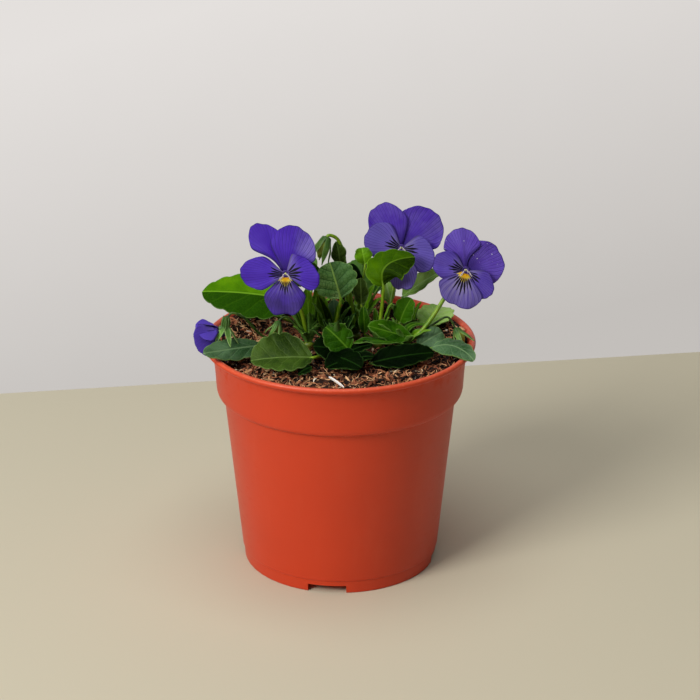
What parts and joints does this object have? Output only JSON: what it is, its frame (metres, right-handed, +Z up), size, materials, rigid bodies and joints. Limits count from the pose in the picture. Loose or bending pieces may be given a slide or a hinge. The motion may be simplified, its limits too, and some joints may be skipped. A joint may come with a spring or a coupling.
{
  "type": "potted viola",
  "caption": "Horned violet with violet-blue five-petalled flowers and scalloped leaves, growing in soil in a round terracotta-coloured plastic nursery pot.",
  "frame": {"origin": "on the pot's axis, on the flat middle of the pot's underside, at the level of the surface that it stands on", "axes": "+Z up along the pot's axis; the flowers look towards -Y; +X to the right as seen by a viewer who looks along +Y"},
  "size_m": [0.1202, 0.105, 0.1394],
  "materials": {
    "pot": "satin terracotta-orange polypropylene",
    "soil": "loose brown coir and bark fibres",
    "leaf": "soft green leaf with a faint sheen",
    "petal": "velvety violet-blue petal with fine veins"
  },
  "bodies": {
    "root": {"pot": "pot", "soil": "soil", "stem_left": "leaf", "stem_front_left": "leaf", "stem_centre": "leaf", "stem_high": "leaf", "stem_lime": "leaf", "stem_right": "leaf", "stem_front_right": "leaf", "stem_back_right": "leaf", "stem_back": "leaf", "stem_back_left": "leaf", "corolla_left": "petal", "corolla_middle": "petal", "corolla_right": "petal", "corolla_nodding": "petal"}
  },
  "joints": []
}
